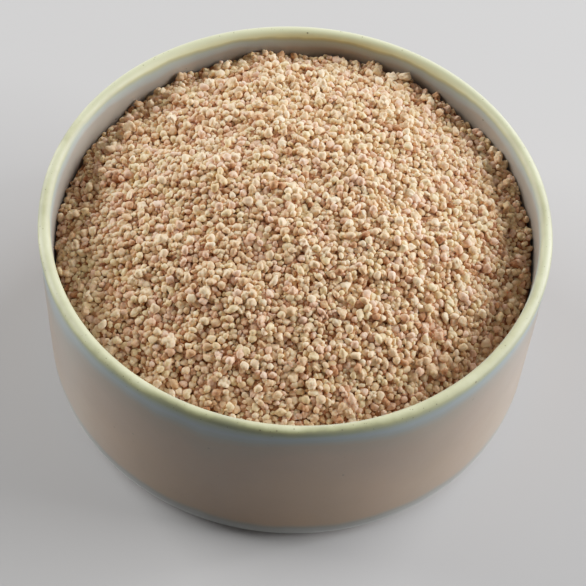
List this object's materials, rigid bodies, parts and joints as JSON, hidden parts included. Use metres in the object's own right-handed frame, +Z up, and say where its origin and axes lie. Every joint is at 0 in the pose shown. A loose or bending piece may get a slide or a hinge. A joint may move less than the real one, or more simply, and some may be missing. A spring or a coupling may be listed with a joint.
{
  "type": "dish of spelt couscous",
  "caption": "Straight-sided round stoneware bowl with a pale rounded lip, heaped nearly to the brim with fine dry spelt couscous.",
  "frame": {"origin": "centre of the bowl's foot, on the surface that the bowl stands on", "axes": "+Z up along the bowl's axis; the heap lies highest against the wall on the +Y side, the back as seen in the picture"},
  "size_m": [0.12, 0.12, 0.0551],
  "materials": {
    "glaze": "satin",
    "grain": "matte"
  },
  "bodies": {
    "root": {"bowl": "glaze", "couscous": "grain"}
  },
  "joints": []
}
